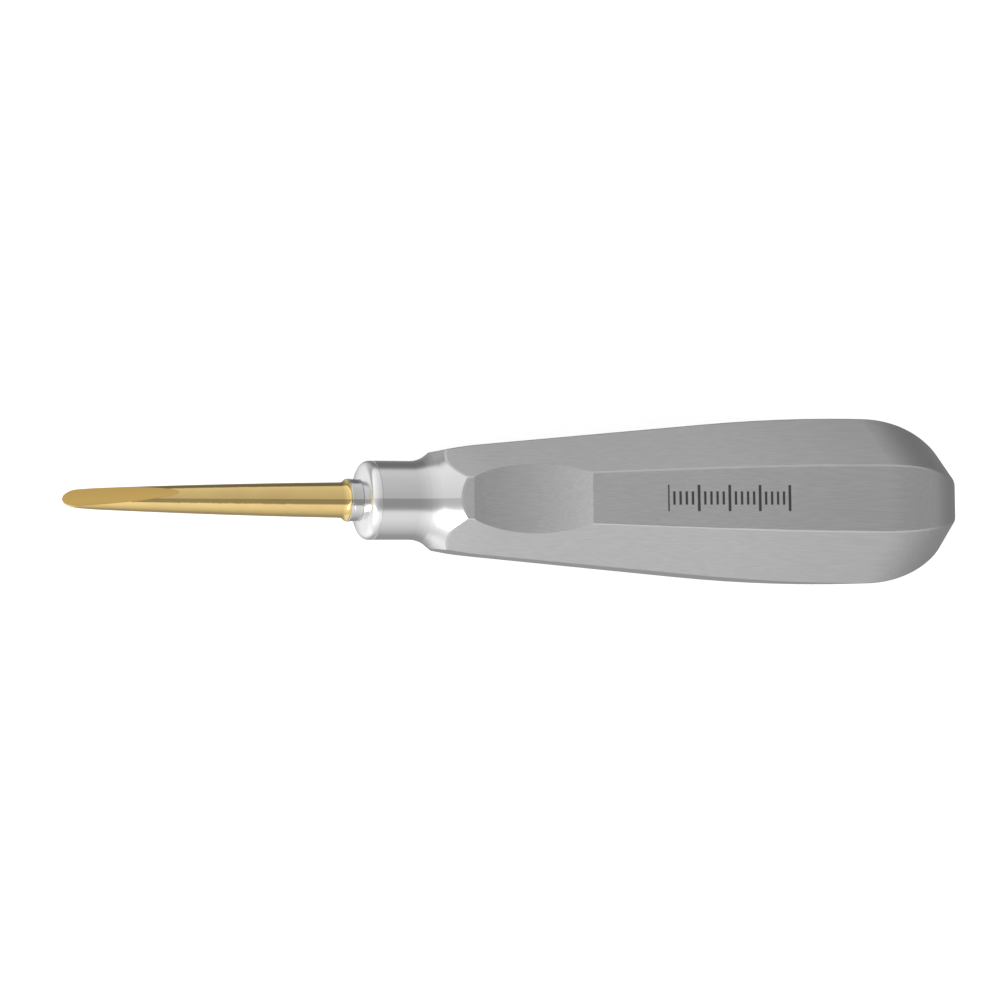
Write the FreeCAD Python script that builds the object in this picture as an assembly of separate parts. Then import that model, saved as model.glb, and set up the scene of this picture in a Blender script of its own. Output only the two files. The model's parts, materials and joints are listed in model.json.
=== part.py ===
import FreeCAD, Part
import math
import os

V = FreeCAD.Vector

# Straight dental elevator (luxating elevator), millimetres.
#
# The tool is drawn along its own axis: X runs from the tip to the rear of the handle, Z is up and
# x = 0 is the front face of the hollow handle. place_at_rest() then lays the finished tool on the
# flat taper of its bottom facet, and the origin becomes the middle of that flat.

# ---- hollow handle: outside -------------------------------------------------------------------
handle_length = 100.8        # front face to the crown of the rear dome
depth_ratio = 1.13           # apothem of the top and bottom facets over that of the side facets
diagonal_ratio = 1.044       # and of the four diagonal facets
neck_radius = 6.0
neck_length = 7.7            # to the sharp corner between the neck and the shoulder cone
neck_blend = 5.0             # hollow of the flare between neck and shoulder
shoulder_angle = 37.4        # of the turned shoulder, from the axis
grip_station = 21.0          # where the grip apothem is given
grip_apothem = 8.89
lead_in_end = 16.5           # the facets roll down to the shoulder in front of this station
lead_in_radius = 60.0
belly_apothem = 13.33        # at the widest place
belly_radius = 300.0
dome_length = 19.0           # from the widest place to the crown
crown_inset = 2.2            # the crown's radius is this much less than the belly's apothem
edge_softening = 0.45        # radius on the long edges between facets

# ---- thumb and finger scoops ------------------------------------------------------------------
scoop_station = 22.4
scoop_length = 18.8
scoop_depth = 1.9

# ---- hollow handle: inside --------------------------------------------------------------------
wall = 1.5                   # least wall behind facets and scoops
rear_wall = 2.4
neck_bore_radius = 4.4       # takes the spigot of the bolster plug
neck_bore_length = 9.0

# ---- end plug ---------------------------------------------------------------------------------
end_plug_radius = 3.4
end_plug_spigot_radius = 2.7
end_plug_head = 1.2          # thickness of its head at the seat
end_plug_length = 3.6        # from the seat into the hollow handle
press_clearance = 0.0        # plugs are pressed home, metal to metal

# ---- bolster plug -----------------------------------------------------------------------------
flange_thickness = 2.0       # under the collar
flange_rounding = 1.3        # of the rim
flange_dome = 19.0           # radius of the domed front face
spigot_length = 8.6
seam_chamfer = 0.12          # makes the fine line between plug and handle

# ---- shank collar -----------------------------------------------------------------------------
collar_radius = 3.25
collar_length = 1.93
collar_band = 0.45           # width of the bright front band
collar_step = 0.07           # depth of the turned step behind the band
collar_edge = 0.12

# ---- working end ------------------------------------------------------------------------------
shank_root_radius = 2.68     # just in front of the flare at the collar
shank_mid_radius = 2.27      # half way along the shank
shank_mid_from_collar = 18.4
blade_radius = 1.46          # just behind the rounded tip
working_length = 42.7        # tip to the front face of the collar
flare_length = 1.1
flare_radius = 3.2
flare_land = 0.15
flare_hollow = 0.13          # how far the flare hangs below a straight cone
tip_length = 2.6             # length of the rounded nose
tang_radius = 2.2
tang_clearance = 0.02        # between the tang and the bores it passes through
tang_length = 9.6            # behind the front face of the handle
tang_chamfer = 0.5

# ---- ground face and back of the blade -----------------------------------------------------
face_roll = 30.0             # of the face about the tool axis, from straight up towards +Y
face_grind_radius = 5.0      # hollow of the face, across the blade
face_height_at_tip = -0.2    # of the bottom of the hollow above the axis
face_angle = 7.65            # the face rises out of the blade at this angle
back_grind_radius = 2.6      # convex back, across the blade
back_tip_thickness = 0.45    # below the axis, at the tip
back_angle = 8.0
back_grind_length = 10.0

# ---- cross pin ----------------------------------------------------------------------------------
pin_radius = 0.8
pin_station = 4.6
pin_inset = 0.15             # keeps the pin's ends below the spigot's surface
pin_chamfer = 0.2

# ---- derived sizes ----------------------------------------------------------------------------
belly_station = handle_length - dome_length
crown_radius = belly_apothem - crown_inset
collar_rear = -flange_thickness
collar_front = collar_rear - collar_length
tip_station = collar_front - working_length
shoulder_slope = math.tan(math.radians(shoulder_angle))
end_plug_seat = handle_length - end_plug_head
bore_end = neck_bore_length + wall
tang_bore = tang_radius + tang_clearance
reach = 3.0 * depth_ratio * belly_apothem     # beyond any surface of the handle

# Each pair of opposite facets: its turn from upright in degrees, and its apothem ratio.
diagonal_turn = math.degrees(math.atan(depth_ratio))
SIDE_FACETS = (90.0, 1.0)
TOP_FACETS = (0.0, depth_ratio)
FACET_PAIRS = [TOP_FACETS, SIDE_FACETS, (diagonal_turn, diagonal_ratio), (-diagonal_turn, diagonal_ratio)]


def point(x, radius):
    """A point of an outline in the XZ plane, radius measured from the tool axis."""
    return V(x, 0, radius)


def line(a, b):
    return Part.LineSegment(a, b).toShape()


def arc(centre, radius, start_angle, end_angle):
    """Arc in the XZ plane; angles in radians from the +Z direction towards +X."""
    def at(angle):
        return V(centre.x + radius * math.sin(angle), 0, centre.z + radius * math.cos(angle))
    middle = (start_angle + end_angle) / 2
    return Part.Arc(at(start_angle), at(middle), at(end_angle)).toShape()


def polyline(corners):
    """Edges that join the corners in turn."""
    return [line(a, b) for a, b in zip(corners, corners[1:])]


def filled(edges):
    """Flat face inside a closed outline."""
    return Part.Face(Part.Wire(Part.__sortEdges__(edges)))


def revolve(edges):
    """Solid of revolution about the tool axis from the edges of a closed outline."""
    return filled(edges).revolve(V(0, 0, 0), V(1, 0, 0), 360)


def turned(corners):
    """Solid of revolution from the corners of a straight-sided outline, as (x, radius) pairs."""
    outline = [point(x, radius) for x, radius in corners]
    return revolve(polyline(outline + outline[:1]))


def across_width(face):
    """Face in the XZ plane drawn out to both sides, past the whole handle."""
    solid = face.extrude(V(0, 2 * reach, 0))
    solid.translate(V(0, -reach, 0))
    return solid


def cylinder_x(radius, start, end):
    """Cylinder on the tool axis between two stations."""
    return Part.makeCylinder(radius, end - start, V(start, 0, 0), V(1, 0, 0))


def about_axis(shape, degrees):
    """Turn a shape about the tool axis."""
    shape.rotate(V(0, 0, 0), V(1, 0, 0), degrees)
    return shape


def one_solid(shape):
    """The solid itself, out of the compound that a cut or a fuse leaves it in."""
    merged = shape.removeSplitter()
    return merged.Solids[0]


# ---- outline of one facet -----------------------------------------------------------------------
def taper_geometry(ratio):
    """Angle of the straight taper, and the station where it runs tangent into the belly."""
    radius = belly_radius / ratio
    rise = ratio * (belly_apothem - grip_apothem) - radius
    run = belly_station - grip_station
    angle = math.atan2(rise, run) + math.asin(radius / math.hypot(run, rise))
    return angle, belly_station - radius * math.sin(angle)


def taper_point(ratio, x):
    """Point on the straight part of a facet."""
    angle = taper_geometry(ratio)[0]
    return point(x, ratio * grip_apothem + (x - grip_station) * math.tan(angle))


def taper_normal(ratio):
    """Unit vector square to the straight part of a facet, out of the handle."""
    angle = taper_geometry(ratio)[0]
    return V(-math.sin(angle), 0, math.cos(angle))


def heel_geometry(ratio):
    """Radius and end angle of the arc that leads from the belly tangent into the crown."""
    height = ratio * belly_apothem
    run = dome_length - crown_radius
    radius = (run ** 2 + height ** 2 - crown_radius ** 2) / (2 * (height - crown_radius))
    return radius, math.atan2(run, radius - height)


def grip_outline(ratio, inset, front):
    """Outline of a facet, moved inwards by inset, from a front station to the crown.

    Straight taper, belly, heel and crown arcs follow each other without a kink. The outline
    closes along the tool axis.
    """
    height = ratio * belly_apothem
    angle, taper_end = taper_geometry(ratio)
    radius = belly_radius / ratio
    heel_radius, heel_end = heel_geometry(ratio)
    taper_stop = taper_point(ratio, taper_end) - taper_normal(ratio) * inset
    taper_start = point(front, taper_stop.z - (taper_stop.x - front) * math.tan(angle))
    edges = polyline([point(handle_length - inset, 0), point(front, 0), taper_start, taper_stop])
    edges.append(arc(point(belly_station, height - radius), radius - inset, -angle, 0))
    edges.append(arc(point(belly_station, height - heel_radius), heel_radius - inset, 0, heel_end))
    edges.append(arc(point(handle_length - crown_radius, 0), crown_radius - inset, heel_end, math.pi / 2))
    return edges


def lead_in_relief(ratio):
    """Sliver between the straight taper and the arc that rolls a facet down to the shoulder."""
    start = taper_point(ratio, lead_in_end)
    centre = start - taper_normal(ratio) * lead_in_radius
    roll_start = -taper_geometry(ratio)[0]
    roll_end = math.asin((neck_length - centre.x) / lead_in_radius)
    front = centre + V(math.sin(roll_end), 0, math.cos(roll_end)) * lead_in_radius
    edges = polyline([front, point(front.x, reach), point(start.x, reach), start])
    edges.append(arc(centre, lead_in_radius, roll_start, roll_end))
    return across_width(filled(edges))


def facet_slab(ratio, inset, front):
    """One facet and its opposite, drawn out across the whole width."""
    half = across_width(filled(grip_outline(ratio, inset, front)))
    if front < lead_in_end:
        half = half.cut(lead_in_relief(ratio))
    return half.fuse(half.mirror(V(0, 0, 0), V(0, 0, 1)))


def eight_sided(inset, front):
    """The common space of the four pairs of facets, moved inwards by inset."""
    slabs = [about_axis(facet_slab(ratio, inset, front), turn) for turn, ratio in FACET_PAIRS]
    body = slabs[0]
    for slab in slabs[1:]:
        body = body.common(slab)
    return one_solid(body)


# ---- handle shell -------------------------------------------------------------------------------
def turned_envelope():
    """Neck, hollow flare and shoulder cone, then free of the grip."""
    slope = math.radians(shoulder_angle)
    tangent = neck_blend * math.tan(slope / 2)
    blend_start = point(neck_length - tangent, neck_radius)
    blend_end = point(neck_length + tangent * math.cos(slope), neck_radius + tangent * math.sin(slope))
    cone_end = point(neck_length + (reach - neck_radius) / shoulder_slope, reach)
    rear = handle_length + reach
    edges = polyline([blend_end, cone_end, point(rear, reach), point(rear, 0), point(0, 0)])
    edges += polyline([point(0, 0), point(0, neck_radius), blend_start])
    edges.append(arc(blend_start + V(0, 0, neck_blend), neck_blend, math.pi, math.pi - slope))
    return revolve(edges)


def scoop_cutters():
    """Cylinders across the handle that mill a scoop into the top facet and one opposite."""
    radius = (scoop_length ** 2 / 4 + scoop_depth ** 2) / (2 * scoop_depth)
    centre = taper_point(depth_ratio, scoop_station) + taper_normal(depth_ratio) * (radius - scoop_depth)
    return [
        Part.makeCylinder(radius, 2 * reach, V(centre.x, -reach, side * centre.z), V(0, 1, 0))
        for side in (1, -1)
    ]


def soften_long_edges(body):
    """Round the long edges between the facets, and leave the rims of the rear opening sharp."""
    long_edges = []
    for edge in body.Edges:
        ends = [vertex.Point for vertex in edge.Vertexes]
        length = abs(ends[0].x - ends[-1].x)
        off_axis = min(math.hypot(end.y, end.z) for end in ends)
        if length > end_plug_head and off_axis > end_plug_radius - end_plug_head / 100:
            long_edges.append(edge)
    return body.makeFillet(edge_softening, long_edges)


def chamber():
    """Hollow inside: neck bore, round bore between the scoops, eight-sided chamber behind them."""
    scoop_floor = taper_point(depth_ratio, scoop_station).z - scoop_depth
    round_bore = min(scoop_floor, taper_point(1.0, bore_end).z) - wall
    bore_start = neck_length + (round_bore + 2 * wall - neck_radius) / shoulder_slope
    scoop_end = scoop_station + scoop_length / 2 + wall
    bores = turned([
        (-neck_length, 0),
        (-neck_length, neck_bore_radius),
        (neck_bore_length, neck_bore_radius),
        (bore_start + wall, round_bore),
        (scoop_end + wall, round_bore),
        (scoop_end + wall, 0),
    ])
    wide = eight_sided(wall, scoop_end).common(cylinder_x(reach, scoop_end, handle_length - rear_wall))
    return bores.fuse(wide).removeSplitter()


def seam_groove():
    """Fine chamfer on the rim of the handle's front face."""
    return turned([
        (-seam_chamfer, neck_radius + seam_chamfer),
        (-seam_chamfer, neck_radius - 2 * seam_chamfer),
        (seam_chamfer, neck_radius + seam_chamfer),
    ])


def make_handle_shell():
    """Hollow eight-sided handle with a turned neck, milled scoops and a plugged rear opening."""
    body = eight_sided(0.0, neck_length)
    hole = end_plug_spigot_radius + press_clearance
    body = body.cut(cylinder_x(end_plug_radius + press_clearance, end_plug_seat, handle_length + reach))
    body = body.cut(cylinder_x(hole, end_plug_seat - rear_wall, end_plug_seat))
    body = soften_long_edges(one_solid(body))
    outside = turned_envelope()
    body = body.common(outside).fuse(outside.common(cylinder_x(reach, 0, neck_length)))
    for cutter in scoop_cutters():
        body = body.cut(cutter)
    return one_solid(body.cut(chamber()).cut(seam_groove()))


# ---- plugs, collar and pin ----------------------------------------------------------------------
def make_end_plug():
    """Stepped plug whose head carries on the crown of the dome."""
    crown = Part.makeSphere(crown_radius, V(handle_length - crown_radius, 0, 0))
    head = cylinder_x(end_plug_radius, end_plug_seat, handle_length + end_plug_head).common(crown)
    spigot = cylinder_x(end_plug_spigot_radius, end_plug_seat - end_plug_length, end_plug_seat)
    return one_solid(head.fuse(spigot))


def make_bolster_plug():
    """Flange with a domed front and rounded rim, and the spigot that is pressed into the neck."""
    radius = neck_bore_radius - press_clearance
    dome_centre = point(collar_rear + math.sqrt(flange_dome ** 2 - collar_radius ** 2), 0)
    rim_height = neck_radius - flange_rounding
    rim_reach = math.sqrt((flange_dome - flange_rounding) ** 2 - rim_height ** 2)
    rim_centre = point(dome_centre.x - rim_reach, rim_height)
    rim_angle = -math.atan2(rim_reach, rim_height)
    seat_angle = -math.acos(collar_radius / flange_dome)
    edges = [arc(dome_centre, flange_dome, seat_angle, rim_angle)]
    edges.append(arc(rim_centre, flange_rounding, rim_angle, 0))
    edges += polyline([
        point(rim_centre.x, neck_radius),
        point(-seam_chamfer, neck_radius),
        point(0, neck_radius - seam_chamfer),
        point(0, radius),
        point(spigot_length, radius),
        point(spigot_length, tang_bore),
        point(collar_rear, tang_bore),
        point(collar_rear, collar_radius),
    ])
    return one_solid(revolve(edges).cut(pin_hole()))


def make_shank_collar():
    """Bright ring behind the flare of the shank, with a turned step."""
    body = collar_radius - collar_step
    step = collar_front + collar_band
    return turned([
        (collar_front, tang_bore),
        (collar_front, collar_radius - collar_edge),
        (collar_front + collar_edge, collar_radius),
        (step, collar_radius),
        (step + collar_step, body),
        (collar_rear - collar_edge, body),
        (collar_rear, body - collar_edge),
        (collar_rear, tang_bore),
    ])


def pin_hole():
    """Space for the cross pin, through spigot and tang."""
    return Part.makeCylinder(pin_radius, 2 * reach, V(pin_station, -reach, 0), V(0, 1, 0))


def make_tang_pin():
    """Plain dowel with chamfered ends."""
    length = 2 * (neck_bore_radius - pin_inset)
    pin = Part.makeCylinder(pin_radius, length, V(pin_station, -length / 2, 0), V(0, 1, 0))
    rims = [edge for edge in pin.Edges if edge.Curve.TypeId == "Part::GeomCircle"]
    return one_solid(pin.makeChamfer(pin_chamfer, rims))


# ---- working end --------------------------------------------------------------------------------
def nose_edge():
    """Quarter ellipse from the tip to the full radius of the blade."""
    ellipse = Part.Ellipse(V(tip_station + tip_length, 0, 0), tip_length, blade_radius)
    ellipse.Axis = V(0, -1, 0)
    ellipse.XAxis = V(-1, 0, 0)
    quarters = [Part.Edge(ellipse, 0, math.pi / 2), Part.Edge(ellipse, 3 * math.pi / 2, 2 * math.pi)]
    return max(quarters, key=lambda quarter: quarter.CenterOfMass.z)


def shank_blank():
    """Turned outside of the working end: rounded nose, bowed shank, flare, and tang."""
    nose_end = point(tip_station + tip_length, blade_radius)
    shank_middle = point(collar_front - shank_mid_from_collar, shank_mid_radius)
    shank_end = point(collar_front - flare_length, shank_root_radius)
    flare_end = point(collar_front - flare_land, flare_radius)
    hollow = V(flare_end.z - shank_end.z, 0, shank_end.x - flare_end.x).normalize() * flare_hollow
    edges = [nose_edge()]
    edges.append(Part.Arc(nose_end, shank_middle, shank_end).toShape())
    edges.append(Part.Arc(shank_end, (shank_end + flare_end) * 0.5 + hollow, flare_end).toShape())
    edges += polyline([
        flare_end,
        point(collar_front, flare_radius),
        point(collar_front, tang_radius),
        point(tang_length - tang_chamfer, tang_radius),
        point(tang_length, tang_radius - tang_chamfer),
        point(tang_length, 0),
        point(tip_station, 0),
    ])
    return revolve(edges)


def wheel_pass(height, angle, radius, length):
    """Long cylinder whose lowest line starts at a height above the tip and slopes by an angle."""
    slope = math.radians(angle)
    direction = V(math.cos(slope), 0, math.sin(slope))
    up = V(-direction.z, 0, direction.x)
    start = point(tip_station, height) - direction * tip_length + up * radius
    return Part.makeCylinder(radius, length, start, direction)


def face_grinder():
    """Wheel path of the hollow-ground face, which slopes up out of the blade."""
    return wheel_pass(face_height_at_tip, face_angle, face_grind_radius, working_length)


def back_grinder():
    """What the grinding of the convex back takes away from the last stretch before the tip."""
    length = back_grind_length + 2 * tip_length
    kept = wheel_pass(-back_tip_thickness, -back_angle, back_grind_radius, length)
    side = 2 * back_grind_radius
    start = tip_station - tip_length / 2
    return Part.makeBox(back_grind_length, 2 * side, side, V(start, -side, -side)).cut(kept)


def make_working_end():
    """Blade, shank and hidden tang in one piece."""
    blank = shank_blank()
    for grinder in (face_grinder(), back_grinder()):
        blank = blank.cut(about_axis(grinder, -face_roll))
    return one_solid(blank.cut(pin_hole()))


# ---- the whole tool -----------------------------------------------------------------------------
def place_at_rest(shape):
    """Lay the tool on the flat taper of its bottom facet, with the flat's middle at the origin."""
    angle, taper_end = taper_geometry(depth_ratio)
    flat_start = scoop_station + scoop_length / 2
    middle = taper_point(depth_ratio, (flat_start + taper_end) / 2)
    shape.translate(V(-middle.x, 0, middle.z))
    shape.rotate(V(0, 0, 0), V(0, 1, 0), -math.degrees(angle))
    return shape


NODES = {
    "working_end": make_working_end,
    "shank_collar": make_shank_collar,
    "bolster_plug": make_bolster_plug,
    "tang_pin": make_tang_pin,
    "handle_shell": make_handle_shell,
    "end_plug": make_end_plug,
}

os.makedirs("parts", exist_ok=True)
for name, make in NODES.items():
    solid = place_at_rest(make())
    solid.exportStep(os.path.join("parts", name + ".step"))
    print(name, solid.ShapeType, "valid", solid.isValid(), "volume %.1f" % solid.Volume)
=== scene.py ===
import json
import math

import bpy
from mathutils import Matrix, Vector

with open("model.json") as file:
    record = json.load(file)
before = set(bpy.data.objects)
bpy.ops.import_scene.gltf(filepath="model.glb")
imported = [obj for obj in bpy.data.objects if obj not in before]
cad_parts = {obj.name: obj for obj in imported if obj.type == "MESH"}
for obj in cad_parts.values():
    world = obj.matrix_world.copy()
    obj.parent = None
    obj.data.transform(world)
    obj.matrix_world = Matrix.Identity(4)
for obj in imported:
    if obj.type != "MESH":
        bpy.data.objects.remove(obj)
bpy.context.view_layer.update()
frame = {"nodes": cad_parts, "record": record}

MM = 0.001
NODES = frame["nodes"]

# ---- the tool's own axis ------------------------------------------------------------------------
# The tool lies on a facet of its tapered grip, so its axis rises towards the rear. The record's
# neck mount gives a point on the axis and its direction towards the tip.
neck = next(mount for mount in frame["record"]["mounts"] if mount["name"] == "neck")
NECK_RADIUS = neck["dims"]["r_mm"]
SEAM_CHAMFER = 0.12                                # mm, in front of the stretch the mount measures
AXIS = -Vector(neck["axis"]).normalized()          # towards the rear of the handle
ACROSS = Vector((0, 1, 0))
UP = AXIS.cross(ACROSS)
NECK_START = neck["dims"]["length_mm"] / 2 + SEAM_CHAMFER
HANDLE_FRONT = Vector(neck["pos_m"]) - AXIS * NECK_START * MM


def on_tool(along, across=0.0, up=0.0):
    """Point given from the handle's front face, in mm: along the axis to the rear, across, up."""
    return HANDLE_FRONT + (AXIS * along + ACROSS * across + UP * up) * MM


# ---- camera -------------------------------------------------------------------------------------
VIEW_TILT = math.radians(21.4)       # how far the tip leans towards the camera
VIEW_ROLL = math.radians(2.7)        # how far the top facet is turned towards the image's top
VIEW_TURN = math.radians(0.31)       # how far the rear sits lower in the image
VIEW_DISTANCE = 0.350
FRAME_WIDTH = 0.1545                 # what the image spans at that distance
SENSOR = 36.0
VIEW_CENTRE = 20.94                  # mm along the axis from the handle's front
VIEW_LIFT = 0.14                     # mm

across_view = ACROSS * math.cos(VIEW_ROLL) + UP * math.sin(VIEW_ROLL)
up_view = UP * math.cos(VIEW_ROLL) - ACROSS * math.sin(VIEW_ROLL)
level_right = AXIS * math.cos(VIEW_TILT) + up_view * math.sin(VIEW_TILT)
VIEW_BACK = up_view * math.cos(VIEW_TILT) - AXIS * math.sin(VIEW_TILT)
VIEW_RIGHT = level_right * math.cos(VIEW_TURN) + across_view * math.sin(VIEW_TURN)
VIEW_UP = across_view * math.cos(VIEW_TURN) - level_right * math.sin(VIEW_TURN)


def make_camera():
    data = bpy.data.cameras.new("camera")
    data.sensor_width = SENSOR
    data.lens = SENSOR * VIEW_DISTANCE / FRAME_WIDTH
    data.clip_start = 0.01
    data.clip_end = 10
    camera = bpy.data.objects.new("camera", data)
    bpy.context.scene.collection.objects.link(camera)
    turn = Matrix((VIEW_RIGHT, VIEW_UP, VIEW_BACK)).transposed().to_4x4()
    place = on_tool(VIEW_CENTRE) + VIEW_UP * VIEW_LIFT * MM + VIEW_BACK * VIEW_DISTANCE
    camera.matrix_world = Matrix.Translation(place) @ turn
    bpy.context.scene.camera = camera


# ---- node helpers -------------------------------------------------------------------------------
class Graph:
    """Short names for the shader nodes that the materials and the world are made of."""

    def __init__(self, tree):
        self.tree = tree

    def add(self, kind, **settings):
        node = self.tree.nodes.new("ShaderNode" + kind)
        for name, value in settings.items():
            setattr(node, name, value)
        return node

    def feed(self, socket, value):
        if isinstance(value, bpy.types.NodeSocket):
            self.tree.links.new(value, socket)
        else:
            socket.default_value = value

    def math(self, operation, *values):
        node = self.add("Math", operation=operation)
        for socket, value in zip(node.inputs, values):
            self.feed(socket, value)
        return node.outputs[0]

    def ramp(self, value, low, high, out_low=0.0, out_high=1.0):
        """Smooth step of a value between two limits."""
        node = self.add("MapRange", interpolation_type="SMOOTHSTEP")
        for socket, item in zip(node.inputs, (value, low, high, out_low, out_high)):
            self.feed(socket, item)
        return node.outputs[0]

    def band(self, value, middle, half_width, edge):
        """1 within half_width of the middle, falling to 0 over the edge."""
        distance = self.math("ABSOLUTE", self.math("SUBTRACT", value, middle))
        return self.ramp(distance, half_width, half_width + edge, 1.0, 0.0)

    def mix(self, factor, first, second):
        node = self.add("Mix", data_type="RGBA")
        for name, value in (("Factor_Float", factor), ("A_Color", first), ("B_Color", second)):
            socket = next(s for s in node.inputs if s.identifier == name)
            self.feed(socket, value)
        return next(s for s in node.outputs if s.identifier == "Result_Color")

    def dot(self, vector, direction):
        node = self.add("VectorMath", operation="DOT_PRODUCT")
        self.feed(node.inputs[0], vector)
        node.inputs[1].default_value = direction
        return node.outputs["Value"]

    def noise(self, vector, scale, stretch, detail):
        """Noise between 0 and 1 in a stretched space."""
        stretched = self.add("VectorMath", operation="MULTIPLY")
        self.feed(stretched.inputs[0], vector)
        stretched.inputs[1].default_value = stretch
        node = self.add("TexNoise")
        self.feed(node.inputs["Vector"], stretched.outputs[0])
        node.inputs["Scale"].default_value = scale
        node.inputs["Detail"].default_value = detail
        return node.outputs["Fac"]


def frame_turn(along, up):
    """Rotation whose X runs along a direction and whose Z is near another."""
    along = along.normalized()
    side = up.cross(along).normalized()
    return Matrix((along, side, along.cross(side))).transposed()


TOOL_TURN = frame_turn(AXIS, UP)


def local_mm(graph, origin, turn):
    """The surface point in mm, in a frame with its own origin and rotation."""
    place = graph.add("Mapping", vector_type="TEXTURE")
    graph.feed(place.inputs["Vector"], graph.add("TexCoord").outputs["Object"])
    place.inputs["Location"].default_value = origin
    place.inputs["Rotation"].default_value = turn.to_euler()
    place.inputs["Scale"].default_value = (MM, MM, MM)
    parts = graph.add("SeparateXYZ")
    graph.feed(parts.inputs[0], place.outputs[0])
    return place.outputs[0], parts.outputs[0], parts.outputs[1], parts.outputs[2]


def radius_of(graph, y, z):
    squares = graph.math("ADD", graph.math("MULTIPLY", y, y), graph.math("MULTIPLY", z, z))
    return graph.math("SQRT", squares)


def new_metal(name):
    material = bpy.data.materials.new(name)
    material.use_nodes = True
    shader = material.node_tree.nodes["Principled BSDF"]
    shader.inputs["Metallic"].default_value = 1
    return material, Graph(material.node_tree), shader


def bump(graph, shader, height, distance_mm):
    node = graph.add("Bump")
    node.inputs["Distance"].default_value = distance_mm * MM
    graph.feed(node.inputs["Height"], height)
    graph.feed(shader.inputs["Normal"], node.outputs[0])


def blend(graph, mask, off, on):
    """off where the mask is 0, on where it is 1."""
    node = graph.add("MapRange")
    for socket, item in zip(node.inputs, (mask, 0.0, 1.0, off, on)):
        graph.feed(socket, item)
    return node.outputs[0]


# ---- noises: scale per mm, stretch along, across and up, detail -----------------------------------
STREAKS = (5.0, (0.03, 1.0, 1.0), 5.0)           # brushing along the grip
HAIRLINES = (16.0, (0.012, 1.0, 1.0), 2.0)       # finer and longer than the streaks
CLOUDS = (0.16, (0.4, 1.0, 1.0), 3.0)            # uneven polish
NECK_RINGS = (9.0, (1.0, 0.02, 0.02), 2.0)       # turning marks on the neck
SHANK_RINGS = (10.0, (1.0, 0.03, 0.03), 2.0)     # turning marks on the shank
WHEEL_LINES = (14.0, (0.05, 1.0, 1.0), 3.0)      # grinding along the blade's face
SHANK_SMUDGE = (0.35, (0.5, 1.0, 1.0), 3.0)
FACE_RINGS = (9.0, (1, 1, 1), 3.0)               # in station and radius, so they circle the axis
STEEL_SMUDGE = (0.5, (1, 1, 1), 3.0)


# ---- handle: satin grip, polished neck and flare, etched scale -----------------------------------
SATIN_STEEL = (0.64, 0.64, 0.64, 1)
SATIN_STREAK = (0.59, 0.59, 0.59, 1)
POLISHED_STEEL = (0.71, 0.71, 0.71, 1)
ETCHED_STEEL = (0.10, 0.10, 0.10, 1)
NECK_END = 7.7                       # mm from the front, where the flare's cone leaves the neck
FLARE_SLOPE = math.tan(math.radians(37.4))
POLISHED_MARGIN = 0.2                # mm of polish left on the facets beside the flare
SCALE_START = 43.7
SCALE_END = 64.3
SCALE_STEP = 1.0
SCALE_LONG_STEP = 5.0
MARK_WIDTH = 0.34
LONG_MARK_WIDTH = 0.4
MARK_REACH = 1.0                     # to each side of the facet's middle
LONG_MARK_REACH = 2.0
MARK_EDGE = 0.06                     # the etching fades out over this
ETCHED_ROUGHNESS = 0.55
SATIN_EDGE = (0.08, 0.04)            # the satin starts over this much, before and after its line
HANDLE_GRAIN_DEPTH = 0.0015


def etched_scale(graph, x, y, z):
    """Mask of a plain graduation on the top facet: a fine mark each mm, a long one each 5 mm."""
    within = graph.band(x, (SCALE_START + SCALE_END) / 2, (SCALE_END - SCALE_START) / 2, 0.02)

    def marks(step, width, reach):
        position = graph.math("PINGPONG", graph.math("SUBTRACT", x, SCALE_START), step / 2)
        stripe = graph.ramp(position, width / 2, width / 2 + MARK_EDGE, 1.0, 0.0)
        return graph.math("MULTIPLY", stripe, graph.band(y, 0.0, reach, MARK_EDGE))

    short = marks(SCALE_STEP, MARK_WIDTH, MARK_REACH)
    long = marks(SCALE_LONG_STEP, LONG_MARK_WIDTH, LONG_MARK_REACH)
    lines = graph.math("MAXIMUM", short, long)
    top = graph.math("GREATER_THAN", z, 0.0)
    return graph.math("MULTIPLY", graph.math("MULTIPLY", lines, within), top)


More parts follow.
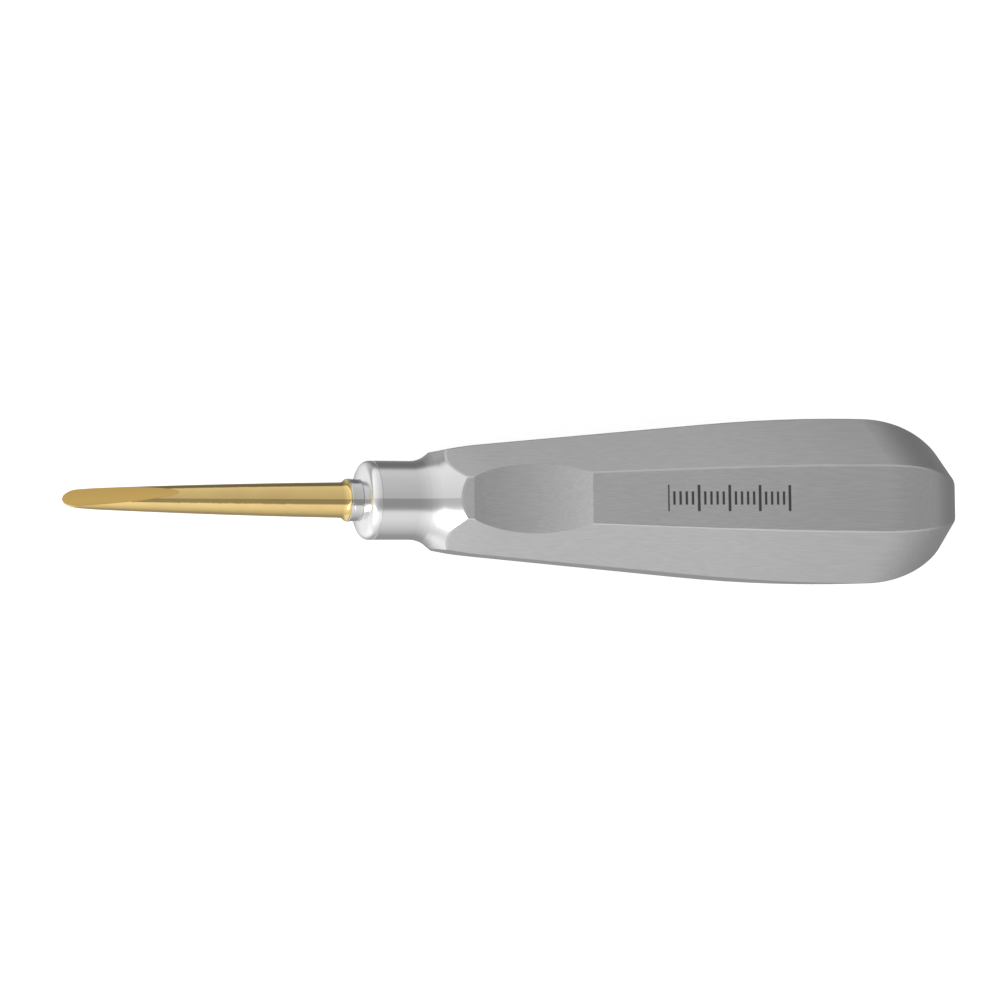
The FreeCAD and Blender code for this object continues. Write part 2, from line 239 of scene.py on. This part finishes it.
def handle_material():
    material, graph, shader = new_metal("handle_steel")
    point, x, y, z = local_mm(graph, HANDLE_FRONT, TOOL_TURN)
    cone = graph.math("MULTIPLY_ADD", graph.math("SUBTRACT", x, NECK_END), FLARE_SLOPE, NECK_RADIUS)
    margin = graph.math("SUBTRACT", radius_of(graph, y, z), cone)
    before, after = SATIN_EDGE
    satin = graph.ramp(margin, -POLISHED_MARGIN - before, -POLISHED_MARGIN + after, 1.0, 0.0)
    streaks = graph.noise(point, *STREAKS)
    hairlines = graph.noise(point, *HAIRLINES)
    clouds = graph.noise(point, *CLOUDS)
    turned = graph.noise(point, *NECK_RINGS)
    etched = graph.math("MULTIPLY", etched_scale(graph, x, y, z), satin)
    grain = graph.mix(graph.ramp(streaks, 0.35, 0.65), SATIN_STREAK, SATIN_STEEL)
    steel = graph.mix(satin, POLISHED_STEEL, grain)
    graph.feed(shader.inputs["Base Color"], graph.mix(etched, steel, ETCHED_STEEL))
    brushed = graph.math("MULTIPLY_ADD", streaks, 0.07, 0.29)
    brushed = graph.math("MULTIPLY_ADD", clouds, 0.08, brushed)
    polish = graph.math("MULTIPLY_ADD", clouds, 0.08, 0.19)
    rough = blend(graph, satin, polish, brushed)
    graph.feed(shader.inputs["Roughness"], blend(graph, etched, rough, ETCHED_ROUGHNESS))
    lines = graph.math("ADD", graph.math("MULTIPLY", hairlines, satin), streaks)
    rings = graph.math("MULTIPLY", turned, graph.math("SUBTRACT", 1.0, satin))
    grip_relief = graph.math("MULTIPLY", lines, satin)
    relief = graph.math("ADD", grip_relief, graph.math("MULTIPLY", rings, 0.25))
    relief = graph.math("SUBTRACT", relief, graph.math("MULTIPLY", etched, 1.5))
    bump(graph, shader, relief, HANDLE_GRAIN_DEPTH)
    return material


# ---- working end: polished nitride gold, satin on the ground face -----------------------------------
POLISHED_GOLD = (0.82, 0.61, 0.25, 1)
WORN_GOLD = (0.78, 0.57, 0.24, 1)
SATIN_GOLD = (0.66, 0.44, 0.14, 1)
BLADE_TIP = -46.63                   # mm from the handle's front
FACE_ROLL = math.radians(30)         # the ground face is turned about the axis
FACE_ANGLE = math.radians(7.65)
FACE_HEIGHT_AT_TIP = -0.2
FACE_WHEEL_RADIUS = 5.0
GROUND_MARGIN = 0.015                # how near the wheel's cylinder still counts as ground
GROUND_EDGE = 0.02
BLADE_GRAIN_DEPTH = 0.0025


def face_wheel_axis():
    """A point on the axis of the wheel that ground the face, and that axis's rotation."""
    face_up = UP * math.cos(FACE_ROLL) + ACROSS * math.sin(FACE_ROLL)
    along = AXIS * math.cos(FACE_ANGLE) + face_up * math.sin(FACE_ANGLE)
    up = face_up * math.cos(FACE_ANGLE) - AXIS * math.sin(FACE_ANGLE)
    tip = on_tool(BLADE_TIP) + face_up * FACE_HEIGHT_AT_TIP * MM
    return tip + up * FACE_WHEEL_RADIUS * MM, frame_turn(along, up)


def gold_material():
    material, graph, shader = new_metal("nitride_gold")
    origin, turn = face_wheel_axis()
    cut, _, side, height = local_mm(graph, origin, turn)
    ground = graph.band(radius_of(graph, side, height), FACE_WHEEL_RADIUS, GROUND_MARGIN,
                        GROUND_EDGE)
    point = local_mm(graph, HANDLE_FRONT, TOOL_TURN)[0]
    wheel_lines = graph.noise(cut, *WHEEL_LINES)
    turned = graph.noise(point, *SHANK_RINGS)
    smudge = graph.noise(point, *SHANK_SMUDGE)
    gold = graph.mix(graph.ramp(smudge, 0.35, 0.7), POLISHED_GOLD, WORN_GOLD)
    graph.feed(shader.inputs["Base Color"], graph.mix(ground, gold, SATIN_GOLD))
    polish = graph.math("MULTIPLY_ADD", smudge, 0.06, 0.07)
    satin = graph.math("MULTIPLY_ADD", wheel_lines, 0.12, 0.28)
    graph.feed(shader.inputs["Roughness"], blend(graph, ground, polish, satin))
    relief = blend(graph, ground, graph.math("MULTIPLY", turned, 0.3), wheel_lines)
    bump(graph, shader, relief, BLADE_GRAIN_DEPTH)
    return material


# ---- turned and polished steel: collar, bolster, plug and pin -----------------------------------------
DULL_SHARE = 0.93                    # how bright the smudged steel is beside the clean


def turned_material(name, color, roughness, ring_height):
    """Lathe-turned steel: fine rings about the axis, with soft smudges in the polish."""
    material, graph, shader = new_metal(name)
    point, x, y, z = local_mm(graph, HANDLE_FRONT, TOOL_TURN)
    ring_place = graph.add("CombineXYZ")
    graph.feed(ring_place.inputs[0], x)
    graph.feed(ring_place.inputs[1], radius_of(graph, y, z))
    rings = graph.noise(ring_place.outputs[0], *FACE_RINGS)
    smudge = graph.noise(point, *STEEL_SMUDGE)
    dull = tuple(channel * DULL_SHARE for channel in color[:3]) + (1,)
    graph.feed(shader.inputs["Base Color"], graph.mix(smudge, color, dull))
    uneven = graph.math("MULTIPLY_ADD", smudge, roughness * 0.5, roughness * 0.75)
    graph.feed(shader.inputs["Roughness"], graph.math("MULTIPLY_ADD", rings, 0.04, uneven))
    bump(graph, shader, rings, ring_height)
    return material


# ---- stage: pale floor, soft surround ---------------------------------------------------------------
FLOOR_SIDE = 3.0
FLOOR_ALBEDO = 0.9
FLOOR_ROUGHNESS = 0.7
FLOOR_GLOW = 0.55


def make_floor():
    side = FLOOR_SIDE
    corners = [(-side, -side, 0), (side, -side, 0), (side, side, 0), (-side, side, 0)]
    mesh = bpy.data.meshes.new("floor")
    mesh.from_pydata(corners, [], [(0, 1, 2, 3)])
    floor = bpy.data.objects.new("floor", mesh)
    bpy.context.scene.collection.objects.link(floor)
    material = bpy.data.materials.new("floor_white")
    material.use_nodes = True
    shader = material.node_tree.nodes["Principled BSDF"]
    shader.inputs["Base Color"].default_value = (FLOOR_ALBEDO, FLOOR_ALBEDO, FLOOR_ALBEDO, 1)
    shader.inputs["Roughness"].default_value = FLOOR_ROUGHNESS
    shader.inputs["Emission Color"].default_value = (1, 1, 1, 1)
    shader.inputs["Emission Strength"].default_value = FLOOR_GLOW
    mesh.materials.append(material)
    floor.visible_glossy = False


# Brightness of the surround by angle about the tool's axis, from straight above (0) towards
# +Y (positive), in degrees; the soft light comes from the -Y side, with a dark band overhead.
SURROUND = [
    (-180, 0.30),
    (-125, 0.38),
    (-100, 0.62),
    (-60, 0.92),
    (-33, 1.00),
    (-26, 0.34),
    (0, 0.32),
    (8, 0.58),
    (60, 0.68),
    (98, 0.80),
    (108, 0.18),
    (135, 0.18),
    (160, 0.30),
    (180, 0.30),
]
FRONT_GAIN = 0.42                    # how much brighter the surround is on the tip's side
GLOW_UNDER_TIP = 1.7                 # extra light from low in front, which the flange mirrors
MIRRORED_ALONG = 0.365               # along-axis part of what the sides mirror to the camera


def make_world():
    world = bpy.data.worlds.new("studio")
    world.use_nodes = True
    graph = Graph(world.node_tree)
    direction = graph.add("TexCoord").outputs["Generated"]
    along = graph.dot(direction, AXIS)
    angle = graph.math("ARCTAN2", graph.dot(direction, across_view), graph.dot(direction, up_view))
    share = graph.math("MULTIPLY_ADD", angle, 1 / (2 * math.pi), 0.5)
    bands = graph.add("ValToRGB")
    graph.feed(bands.inputs[0], share)
    stops = bands.color_ramp.elements
    while len(stops) < len(SURROUND):
        stops.new(0.5)
    for stop, (degrees, level) in zip(stops, SURROUND):
        stop.position = (degrees + 180) / 360
        stop.color = (level, level, level, 1)
    gain = graph.math("MULTIPLY_ADD", along, -FRONT_GAIN, 1 + FRONT_GAIN * MIRRORED_ALONG)
    ahead = graph.ramp(along, 0.15, -0.35)
    below = graph.ramp(graph.dot(direction, UP), -0.1, -0.6)
    level = graph.math("MULTIPLY_ADD", graph.math("MULTIPLY", ahead, below), GLOW_UNDER_TIP, gain)
    background = world.node_tree.nodes["Background"]
    graph.feed(background.inputs["Color"], bands.outputs[0])
    graph.feed(background.inputs["Strength"], level)
    bpy.context.scene.world = world


def area_light(name, direction, distance, size, power):
    """Softbox facing the tool's middle; direction is given along the axis, across and up."""
    data = bpy.data.lights.new(name, "AREA")
    data.shape = "RECTANGLE"
    data.size = size[0]
    data.size_y = size[1]
    data.energy = power
    light = bpy.data.objects.new(name, data)
    bpy.context.scene.collection.objects.link(light)
    aim = (AXIS * direction[0] + ACROSS * direction[1] + UP * direction[2]).normalized()
    light.location = on_tool(VIEW_CENTRE) + aim * distance
    light.rotation_euler = aim.to_track_quat("Z", "Y").to_euler()
    light.visible_camera = False


# ---- the whole scene -------------------------------------------------------------------------------
make_camera()
bpy.context.scene.view_settings.view_transform = "Standard"
make_floor()
make_world()
area_light("softbox", (-0.75, -0.55, 0.35), 0.5, (0.18, 0.10), 0.9)

finishes = {
    "handle_shell": handle_material(),
    "working_end": gold_material(),
    "shank_collar": turned_material("bright_steel", (0.70, 0.70, 0.70, 1), 0.10, 0.002),
    "bolster_plug": turned_material("bolster_steel", (0.90, 0.90, 0.90, 1), 0.22, 0.003),
    "tang_pin": turned_material("pin_steel", (0.70, 0.70, 0.70, 1), 0.25, 0.002),
    "end_plug": turned_material("plug_steel", (0.62, 0.62, 0.62, 1), 0.30, 0.003),
}
for node, material in finishes.items():
    NODES[node].data.materials.clear()
    NODES[node].data.materials.append(material)
